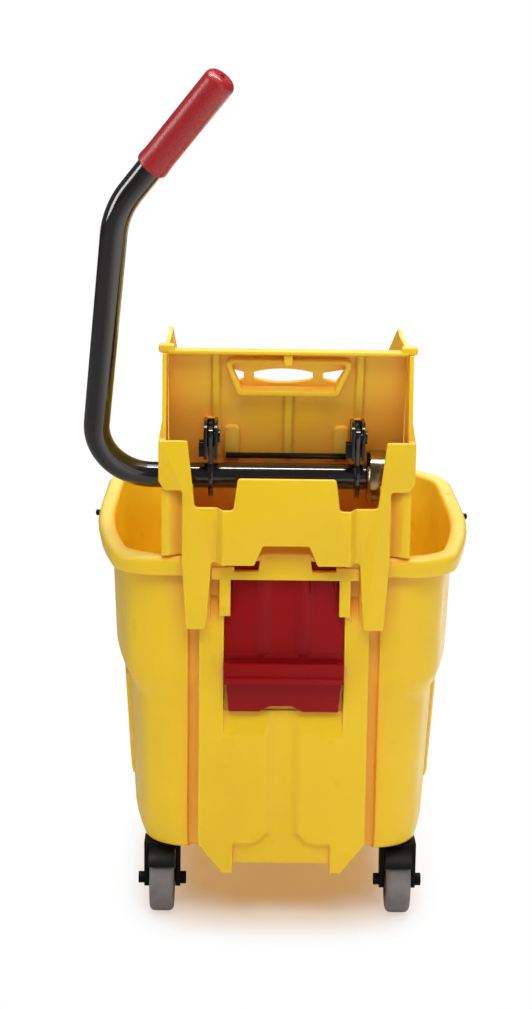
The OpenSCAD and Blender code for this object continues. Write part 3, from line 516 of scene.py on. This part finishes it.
def make_bucket():
    """Tub from its base up the outside, over the rolled rim and down the inside, with pods and side panels."""
    rings = [wall_ring(77, 3.0), wall_ring(77.6, 1.4), wall_ring(79, 0.4), wall_ring(81)]
    for z in [100, 130, 160, 190, 212] + list(range(222, 271, 2)) + [285, 300, 315, 330, 338]:
        rings.append(wall_ring(z))
    for z, groove in ((341, 6.6), (343.5, 4.5), (345, 1.5), (346.5, 0), (354, 0), (362, 0), (370, 0), (378, 0),
                      (384, 0)):
        rings.append(wall_ring(z, 0, groove))
    lip = [(7.5, 384), (6, 383.4), (5.4, 382), (5.4, 370), (5.1, 368.8), (4.4, 368.1), (3.6, 368), (2.7, 368.4),
           (2.1, 369.4), (1.6, 372), (0.5, 378)]
    lip += arc(7, 381, 7, 180, 90, 7) + arc(12.5, 382.5, 5.5, 90, 0, 6)
    rings += [bucket_ring(inset, inset, inset, z) for inset, z in lip]
    mouth_in, mouth_z, throat_z = 18, 382.5, 345
    for t in (0.25, 0.5, 0.75, 1.0):
        insets = [mouth_in + t * (inset - mouth_in) for inset in inner_insets(throat_z)]
        rings.append(bucket_ring(*insets, mouth_z + t * (throat_z - mouth_z)))
    for z in [330, 310, 290] + list(range(274, 216, -4)) + [205, 180, 150, 120, 98]:
        rings.append(inner_ring(z))
    rings += [inner_ring(90, 0.8), inner_ring(86, 2.6), inner_ring(83.4, 5.5), inner_ring(82, 10)]
    pocket = prism(rect(-59.5, 229, 59.5, 384), front, -247, -232, 0)
    parts = [cut(loft(rings), [pocket])]
    for x, y in SWIVELS.values():
        pod = lathe([(0, 81), (16, 81), (16, 118)] + arc(13, 118, 3, 0, 90, 4) + [(0, 121)], 40)
        bmesh.ops.translate(pod, vec=(x, y, 0), verts=pod.verts)
        parts.append(pod)
    # raised upright panels on the two side walls, below the shoulder: (y, share of the lift) and (z, lift)
    ys = [(-98, -2), (-96, 0.7), (-93, 1), (-60, 1), (-20, 1), (22, 1), (25, 0.7), (27, -2)]
    lifts = [(112, -2), (114, 2.0), (120, 3.0), (150, 3.4), (180, 3.7), (210, 4.1), (224, 4.0), (226, -2)]
    sunk, back = -2, -3.5
    for s in (-1, 1):
        faces = [[], []]
        for z, lift in lifts:
            wall = RIM_HALF_W - smooth_inset(z)
            faces[0].append([(s * (wall - bow(y) + (lift * share if min(lift, share) > 0 else sunk)), y, z)
                             for y, share in ys])
            faces[1].append([(s * (wall - bow(y) + back), y, z) for y, share in ys])
        parts.append(slab(*faces))
    obj = finish_mesh("bucket_shell", merge(parts), YELLOW, "bucket_body")
    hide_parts("bucket")


def make_panel():
    """Raised middle panel: rails, pocket that fades out below the insert, centre channel that widens into the web
    between the feet, and channels beside the jambs."""
    half = [0, 3, 6, 8.5, 11, 13.5, 16, 18.5, 21, 25, 29, 33, 37, 41, 45, 48.2, 48.8, 49.4, 50, 54, 57, 58.8, 59.2,
            59.6, 60, 62, 64, 64.6, 65.4, 66.2, 67.5, 71.5, 72.6, 73.2, 73.9, 74.6, 78, 81, 84]
    xs = [-x for x in reversed(half[1:])] + half
    zs = [104, 112, 120, 140, 160, 180, 196, 200, 203, 206, 212, 218, 224, 228.4, 228.8, 229.2, 236, 260, 290, 316,
          322, 327, 332, 337, 342, 347, 352, 357, 362, 370, 378]
    pocket_z, fade_z, fade_length = 228.7, 203, 26
    pocket_depth, fade_depth, field_depth, jamb_depth = 8, 5.5, 5.6, 14
    web_z, web_rise = 87, 12

    def depth(x, z):
        x = abs(x)
        inside = soft(x, 58.9, 59.9)
        if z > pocket_z:
            beside = (1 - soft(x, 64.6, 66.4)) * soft(x, 72.4, 74.2)
            return max(pocket_depth * inside, jamb_depth * beside * (1 - soft(z, 318, 352)))
        fade = fade_depth * inside * (z - fade_z) / fade_length if z > fade_z else 0.0
        edge = web_z + web_rise * (max(0.0, min(1.0, (45 - x) / 28))) ** 5
        web = field_depth * soft(x, 48.4, 49.6) * soft(z, edge - 3, edge + 3)
        return max(fade, web, field_depth * soft(x, 9, 18))

    low = [(0, 67), (48.2, 67), (49.4, 58), (60, 58), (84, 89)]
    back = [(58, -224.4), (77, -209.4), (233, -213.8), (258, -220.7), (345, -222.6), (378, -222.6)]
    faces = [[], []]
    for x in xs:
        foot = along(low, abs(x))
        rows = [foot + (zs[0] - foot) * k / 16 for k in range(16)] + zs
        faces[0].append([(x, PANEL_Y + depth(x, z), z) for z in rows])
        faces[1].append([(x, along(back, z), z) for z in rows])
    parts = [slab(*faces, width=1.5)]
    band = [(73, 365), (73, 378), (50, 378), (50, 373.5), (26.5, 373.5), (24, 390.5)]
    parts.append(prism(band + mirrored(band), front, -246, -236, 1.2))
    for outline in both(rect(53.5, 328, 64.5, 367)):
        parts.append(prism(outline, front, -245.5, -239, 1.1))
    obj = finish_mesh("bucket_front_panel", merge(parts), YELLOW, "bucket_body")
    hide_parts("bucket_panel")


def make_insert():
    """Red insert with a ledge, two upright swellings and four short ribs below its top; the skirt tapers, and its
    arch is broader than the plain node's."""
    back_y, face_y, swell = -235.5, -236.9, 2.6
    extra = [prism(rect(-57, 278, 57, 288.5), front, -238, back_y, 0.6)]
    offsets = [k * 1.2 - 10.8 for k in range(19)]
    for x in (-22, 19):
        faces = [[], []]
        for z, share in ((283, 0.2), (289, 1), (320, 1), (368, 1)):
            faces[0].append([(x + u, face_y - swell * soft(u, 1.5, 10) * share, z) for u in offsets])
            faces[1].append([(x + u, back_y, z) for u in offsets])
        extra.append(slab(*faces))
    # the four ribs are red like the insert: painted shade for ribs that hang in the band's shadow
    rib_top = 366
    for x, length in ((-26, 15), (26, 15), (-50, 12), (50, 12)):
        rib = [(x - 1.1, rib_top), (x + 1.1, rib_top), (x + 0.8, rib_top - length), (x - 0.8, rib_top - length)]
        extra.append(prism(rib, front, -240.5, -236, 0.4, 2))
    arch = [(-29, 227), (24, 227), (8.5, 235.4), (-13.5, 235.4)]
    taper = [(54.2, 226), (62, 226), (62, 261.5), (57.2, 261.5)]
    tools = [prism(outline, front, -262, -228, 0) for outline in (arch, *both(taper))]
    body = cut(cad_mesh("front_insert"), tools)
    round_edges(body, 0.9)
    obj = finish_mesh("front_insert_moulded", merge([body] + extra), RED, "bucket_body")
    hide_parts("front_insert")


def make_casters():
    """Forks and axles with rounded edges, and turned tyres and hubs."""
    turn = Matrix.Rotation(math.radians(90), 4, "Y")
    tyre_profile = [(HUB_R, -12.4)] + arc(28.5, -7, 5.4, -90, 0, 7)
    tyre_profile += [(WHEEL_R, -4), (WHEEL_R, 0), (WHEEL_R, 4)]
    tyre_profile += arc(28.5, 7, 5.4, 0, 90, 7) + [(HUB_R, 12.4)]
    half = [(HUB_R, 12.5), (18.9, 12.5), (18, 11.6), (18, 5), (17, 4), (10, 4), (9, 5), (9, 12), (8, 13), (4.06, 13)]
    hub_profile = [(r, -h) for r, h in reversed(half)] + half
    for key, (x, y) in SWIVELS.items():
        rounded("caster_fork_" + key, BLACK, "swivel_" + key, 0.9)
        rounded("wheel_axle_" + key, BLACK, "swivel_" + key, 0.7)
        tyre, hub = lathe(tyre_profile, 72, closed=True), lathe(hub_profile, 64, closed=True)
        for name, part, material, slot in (("wheel_tyre_", tyre, RUBBER, "grey_rubber"),
                                           ("wheel_hub_", hub, HUB, "grey_plastic")):
            bmesh.ops.transform(part, matrix=turn, verts=part.verts)
            bmesh.ops.translate(part, vec=(x, y - TRAIL, WHEEL_R), verts=part.verts)
            obj = finish_mesh(name + key + "_round", part, material, "wheel_" + key)
            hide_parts(name + key)


def make_apron():
    """Apron with posts and legs; its middle is folded forward."""
    half = [(22.5, 403.5), (31, 384), (72.5, 384), (77, 316), (97, 316), (101.5, 384), (101.5, 455), (118.5, 455),
            (124.5, 464), (124.5, 504), (96.5, 504), (89, 438.5), (51.5, 438.5), (47.5, 470)]
    bends = [2, 3, 3, 3, 3, 2, 3, 3, 3, 2.5, 2.5, 4, 4, 4]
    apron = prism(filleted(half + mirrored(half), bends + bends[::-1]), front, -252, -247, 1.5, clamp=False)
    fold, fold_from, fold_to = 14, 61, 69
    for s in (1, -1):
        for x in range(fold_from - 1, fold_to + 1):
            bmesh.ops.bisect_plane(apron, geom=apron.verts[:] + apron.edges[:] + apron.faces[:],
                                   plane_co=(s * x, 0, 0), plane_no=(1, 0, 0))
    for v in apron.verts:
        v.co.y -= fold * soft(v.co.x, fold_from, fold_to)
    obj = finish_mesh("wringer_apron_folded", apron, YELLOW, "wringer")
    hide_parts("wringer_apron")


def make_wringer():
    """Frame with soft recesses between the legs and the side walls, draining walls and bushes."""
    recesses, tools = [], []
    xs = [100.6, 102, 103.2, 104.4, 105.6, 106.8, 108, 109.2, 110.4, 111.6, 112.8, 114, 116, 118.5, 121.4]
    recess_y, recess_depth, back_y = -247.4, 7.6, -236.5
    for s in (-1, 1):
        faces = [[], []]
        for z in (388.8, 424, 456):
            faces[0].append([(s * x, recess_y + recess_depth * soft(x, 102, 117), z) for x in xs])
            faces[1].append([(s * x, back_y, z) for x in xs])
        recesses.append(slab(*faces, width=3.0))
        tools.append(prism(rect(s * 101.7, 380, s * 123, 454.6), front, -262, -238.5, 0))
    body = cut(cad_mesh("wringer_frame"), tools)
    round_edges(body, 1.3)
    obj = finish_mesh("wringer_frame_moulded", merge([body] + recesses), YELLOW, "wringer")
    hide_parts("wringer_frame")
    for node in ("wringer_floor", "wringer_back"):
        rounded(node, YELLOW, "wringer", 0.5, 2)
    for node in ("shaft_bush_left", "shaft_bush_right"):
        rounded(node, NATURAL, "wringer", 0.5, 2)


def on_plate(u, v, w):
    """Point (u across, v height on the plate's face, w out of it) of the slanted press plate."""
    return (u, PLATE_Y - PLATE_SLOPE * (v - SHAFT_Z) - PLATE_COS * w, v - PLATE_SIN * w)


def on_collar(u, v, w):
    """The same for the collar round the hand hole, which stands out less towards its top."""
    return on_plate(u, v, w * along([(540, 1), (552, 1), (582, 0.45)], v))


def make_press():
    """Press plate with the hand hole, its collar, top flange, ears, upright ribs, tabs and pads, and the yokes."""
    lens_r, lens_x = 28.85, -4.15
    lens = [(lens_r * t + lens_x, 565.4 + 3.9 * (1 - t * t)) for t in [1 - k / 8 for k in range(17)]]
    lens += [(lens_r * t + lens_x, 557.9 - 3.6 * (1 - t * t)) for t in [k / 8 - 1 for k in range(17)]]
    left = filleted([(-43, 557.2), (-43, 565.3), (-55.5, 568.6), (-48.8, 555.6)], 1.2)
    right = filleted([(34.7, 558.3), (48, 554.9), (56.2, 569), (34.7, 565.2)], 1.2)
    plate = prism(rect(-PLATE_HALF_W, 357, PLATE_HALF_W, 586.5), on_plate, -4.8, 0, 0.8)
    parts = [cut(plate, [prism(window, on_plate, -9, 4, 0) for window in (lens, left, right)])]
    outer = filleted([(-62.6, 581), (65, 581), (49.5, 546.2), (-48.4, 546.2)], [7, 7, 5, 5], 6)
    inner = filleted([(-56.8, 577.4), (58.6, 577.4), (46, 551.6), (-44.6, 551.6)], [5, 5, 3, 3], 6)
    parts.append(ring_prism(outer, inner, on_collar, -1, 13, 1.3))
    flange = filleted(rect(-229, 585, -210, 589), 1.7)
    parts.append(prism(flange, side, -PLATE_HALF_W, PLATE_HALF_W, 0.6, 2, clamp=False))
    parts.append(prism([(-4, 574), (4, 574), (4.5, 586), (-4.5, 586)], front, -226, -211, 1.2))
    for outline in both(filleted(rect(110, 586, 125.5, 594), 3.4)):
        parts.append(prism(outline, front, -228.5, -215.5, 1.8, clamp=False))
    heights = [-0.3, 0.9, 3.0, 4, 4, 4, 3.0, 0.9, -0.3]
    for x, low, high, flat in ((-70, 479, 586, 2.6), (71, 479, 586, 2.6), (1.5, 479, 548, 3.0)):
        offsets = [-flat - 3, -flat - 1.8, -flat - 0.8, -flat, 0, flat, flat + 0.8, flat + 1.8, flat + 3]
        parts.append(slab([[on_plate(x + u, v, h) for u, h in zip(offsets, heights)] for v in (low, high)],
                          [[on_plate(x + u, v, -2) for u in offsets] for v in (low, high)]))
    for outline in both(filleted([(47, 473), (62, 473), (62, 511), (46, 511)], [2, 2, 6, 6])):
        parts.append(prism(outline, on_plate, -1, 5, 1.9, clamp=False))
    for x in CRANK_XS:
        parts.append(prism(rect(x - 7, 489.5, x + 7, 518.5), front, -200, -182, 1.2))
    obj = finish_mesh("press_plate_moulded", merge(parts), YELLOW, "press")
    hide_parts("press_plate", "hand_frame")
    for node in ("yoke_left", "yoke_right"):
        rounded(node, GLOSS, "press", 1.0)
    rounded("yoke_screws", ZINC, "press", 0.4, 2)
    rounded("tie_rod", GLOSS, "press", 0.6, 2)


def handle_frame(u, v, w=0.0):
    """Point (u across, v up the lever, w out of its plane) in the handle's leaning plane."""
    a = math.radians(90 + LEAN)
    return Vector((u, SHAFT_Y + v * math.cos(a) - w * math.sin(a), SHAFT_Z + v * math.sin(a) + w * math.cos(a)))


def upward(tilt):
    """Unit vector up the lever's plane at a tilt in degrees."""
    return Vector((math.sin(math.radians(tilt)), math.cos(math.radians(tilt))))


def lever_corner():
    """Where the lines of the lever's two straights meet."""
    return Vector((BEND_HEIGHT * math.tan(math.radians(LEVER_TILT)) + LEVER_X, BEND_HEIGHT))


def handle_line():
    """Centre line of the bent tube, from its right end to the end of the grip."""
    low_turn, high_turn = 90 + LEVER_TILT, GRIP_TILT - LEVER_TILT
    low_cut = LOW_BEND_R * math.tan(math.radians(low_turn) / 2)
    high_cut = HIGH_BEND_R * math.tan(math.radians(high_turn) / 2)
    foot, corner = Vector((LEVER_X, 0)), lever_corner()
    up, out = upward(LEVER_TILT), upward(GRIP_TILT)
    shaft_length = SHAFT_END_X - LEVER_X - low_cut
    points = [Vector((SHAFT_END_X - k * shaft_length / 12, 0)) for k in range(13)]
    points += [Vector(p) for p in arc(low_cut + LEVER_X, LOW_BEND_R, LOW_BEND_R, 270, 270 - low_turn, 22)[1:]]
    start, end = foot + up * low_cut, corner - up * high_cut
    points += [start.lerp(end, k / 10) for k in range(1, 11)]
    centre = end + HIGH_BEND_R * Vector((up.y, -up.x))
    first = math.degrees(math.atan2(end.y - centre.y, end.x - centre.x))
    points += [Vector(p) for p in arc(centre.x, centre.y, HIGH_BEND_R, first, first - high_turn, 16)[1:]]
    start, end = corner + out * high_cut, corner + out * TOP_LENGTH
    points += [start.lerp(end, k / 6) for k in range(1, 7)]
    return points


def make_handle():
    """Bent tube, turned grip, cranks, pins and drum."""
    line = handle_line()
    steps = 40
    outer, inner = [], []
    for i, p in enumerate(line):
        d = (line[min(len(line) - 1, i + 1)] - line[max(0, i - 1)]).normalized()
        for rings, r in ((outer, TUBE_R), (inner, TUBE_BORE_R)):
            spots = [circle(r, k, steps) for k in range(steps)]
            rings.append([handle_frame(p.x - d.y * u, p.y + d.x * u, w) for u, w in spots])
    bm = bmesh.new()
    rows = [[bm.verts.new(q) for q in ring] for ring in outer + inner[::-1]]
    join_loops(bm, rows + rows[:1])
    tube = finish_mesh("handle_tube_bent", bm, STEEL_BLACK, "handle")
    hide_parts("handle_tube")

    # grip: (radius, height above the corner); its bore fits the tube, and its end has a small hole
    profile = [(12.72, 55.4), (13.9, 55), (14.8, 55.4), (15.4, 56.6), (15.5, 58.5), (15.3, 62), (15.0, 66)]
    profile += [(14.9, 66 + k * 6) for k in range(1, 15)] + [(14.9, 154)]
    profile += arc(7.4, 156.5, 7.5, 0, 90, 10)
    profile += [(3.2, 164), (2.6, 163.7), (2.5, 163), (2.5, 156.4), (12.72, 156.2)]
    grip = lathe(profile, 64, closed=True)
    corner, out = lever_corner(), upward(GRIP_TILT)
    across = Vector((out.y, -out.x))
    for v in grip.verts:
        q = corner + across * v.co.x + out * v.co.z
        v.co = handle_frame(q.x, q.y, v.co.y)
    grip = finish_mesh("handle_grip_soft", grip, GRIP, "handle")
    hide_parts("handle_grip")
    for node in ("crank_left", "crank_right"):
        rounded(node, STEEL_BLACK, "handle", 0.8)
    rounded("crank_pins", STEEL_BLACK, "handle", 0.6)
    rounded("shaft_drum", DRUM, "handle", 0.8)


def floor_material():
    """White paper that keeps the part's real shadow, with a painted warm shadow added near the part, and goes
    over into the white background; glossy faces see a painted reflection in it, darker towards the left."""
    n = Nodes("floor")
    n.tree.nodes.remove(n.shader)
    place = n.add("ShaderNodeNewGeometry").outputs["Position"]
    near = n.add("ShaderNodeMapping", {"Vector": place, "Location": (0.0, 0.115, 0.0), "Scale": (5.7, 3.8, 1.0)})
    near = near.outputs["Vector"]
    square = n.add("ShaderNodeVectorMath", {0: near, 1: near}, operation="MULTIPLY").outputs["Vector"]
    length = n.add("ShaderNodeVectorMath", {0: square}, operation="LENGTH").outputs["Value"]
    reach = n.calc("SQRT", length)
    path = n.add("ShaderNodeLightPath")
    seen = n.calc("MAXIMUM", path.outputs["Is Camera Ray"], path.outputs["Is Transmission Ray"])
    glow = n.calc("MULTIPLY", n.ramp(n.ramp(reach, 0.6, 1.0), 0.0, 1.0, 0.4, 1.0), seen)
    across = n.add("ShaderNodeSeparateXYZ", {0: place}).outputs["X"]
    # painted reflection: glossy rays see the paper dark on the left and pale on the right, which paints a light band
    # on the right of the black tube
    painted_reflection_tone = n.mix(n.ramp(across, -0.4, 0.3), (0.22, 0.21, 0.21, 1.0), (0.9, 0.87, 0.84, 1.0))
    tone = n.mix(path.outputs["Is Glossy Ray"], (0.93, 0.93, 0.93, 1.0), painted_reflection_tone)
    paper = n.add("ShaderNodeBsdfDiffuse", {"Color": tone}).outputs[0]
    # painted warm shadow: near the part the camera sees an orange emission blended into the lit paper, fading to
    # white further out
    painted_warm_shadow = n.mix(n.ramp(reach, 0.5, 0.9), (0.90, 0.49, 0.20, 1.0), WHITE)
    white = n.add("ShaderNodeEmission", {"Color": painted_warm_shadow, "Strength": 1.0}).outputs[0]
    blend = n.add("ShaderNodeMixShader", {0: glow, 1: paper, 2: white}).outputs[0]
    n.tree.links.new(blend, n.output.inputs["Surface"])
    return n.material


def make_floor():
    bm = bmesh.new()
    bmesh.ops.create_circle(bm, cap_ends=True, segments=96, radius=6.0)
    mesh = bpy.data.meshes.new("floor")
    bm.to_mesh(mesh)
    bm.free()
    mesh.materials.append(floor_material())
    floor = bpy.data.objects.new("floor", mesh)
    scene.collection.objects.link(floor)


def make_world():
    """A white background that gives only a little light."""
    light = 0.11
    world = bpy.data.worlds.new("studio")
    scene.world = world
    world.use_nodes = True
    tree = world.node_tree
    back = tree.nodes["Background"]
    path = tree.nodes.new("ShaderNodeLightPath")
    ray = tree.nodes.new("ShaderNodeMath")
    ray.operation = "MULTIPLY_ADD"
    tree.links.new(path.outputs["Is Camera Ray"], ray.inputs[0])
    ray.inputs[1].default_value = 1.0 - light
    ray.inputs[2].default_value = light
    tree.links.new(ray.outputs[0], back.inputs["Strength"])
    back.inputs["Color"].default_value = WHITE


def area(name, place, aim, size, power, lights=True, shines=False):
    """Area light; it lights the matt part of a surface, or shines in the glossy part, or both."""
    data = bpy.data.lights.new(name, "AREA")
    data.shape = "RECTANGLE"
    data.size, data.size_y = size
    data.energy = power
    obj = bpy.data.objects.new(name, data)
    scene.collection.objects.link(obj)
    obj.location = place
    obj.visible_diffuse, obj.visible_glossy = lights, shines
    obj.rotation_euler = (Vector(aim) - Vector(place)).to_track_quat("-Z", "Y").to_euler()


def make_lights():
    area("top", (0.0, -0.1, 2.6), (0, -0.1, 0), (2.4, 1.2), 35, True, True)
    area("high", (0.0, -2.0, 2.6), (0, 0, 0.35), (2.6, 1.2), 48)
    area("left", (-2.4, -1.2, 1.2), (0, 0, 0.5), (1.8, 1.8), 4)
    area("right", (2.4, -1.2, 1.2), (0, 0, 0.5), (1.8, 1.8), 3)
    area("rear", (0.3, 2.4, 1.8), (0, 0, 0.5), (1.8, 1.4), 80)
    area("line", (0.0, -0.6, 2.5), (0, -0.2, 0.46), (2.4, 0.2), 40, False, True)
    area("right_card", (1.08, -2.08, 0.75), (-0.19, -0.25, 0.6), (1.9, 1.5), 6, False, True)
    area("left_card", (-2.0, -0.5, 1.0), (-0.1, -0.3, 0.75), (0.6, 1.2), 15, False, True)


def make_camera():
    """The photo's camera: it looks a little down, and its focal length and shift are in pixels of the photo."""
    tilt, yaw, roll = math.radians(12), math.radians(-1.04), math.radians(0.87)
    aim, distance = Vector((0, 0, 0.389)), 2.3
    photo_height, focal, shift, sensor = 1009, 2106, -15.9, 24
    back = Vector((math.sin(yaw) * math.cos(tilt), -math.cos(yaw) * math.cos(tilt), math.sin(tilt)))
    place = aim + distance * back
    level = (-back).cross(Vector((0, 0, 1))).normalized()
    upright = level.cross(-back)
    right = level * math.cos(roll) + upright * math.sin(roll)
    up = upright * math.cos(roll) - level * math.sin(roll)
    data = bpy.data.cameras.new("camera")
    data.sensor_fit = "VERTICAL"
    data.sensor_height = sensor
    data.lens = sensor * focal / photo_height
    data.shift_x = shift / photo_height
    data.clip_end = 50
    camera = bpy.data.objects.new("camera", data)
    scene.collection.objects.link(camera)
    camera.matrix_world = Matrix.Translation(place) @ Matrix((right, up, back)).transposed().to_4x4()
    scene.camera = camera


make_camera()
make_floor()
make_world()
make_lights()
make_bucket()
make_panel()
make_insert()
make_casters()
make_apron()
make_wringer()
make_press()
make_handle()
for node, material in (("rim_pegs", BLACK), ("caster_sockets", ZINC)):
    nodes[node].data.materials.clear()
    nodes[node].data.materials.append(material)

scene.view_settings.view_transform = "Standard"
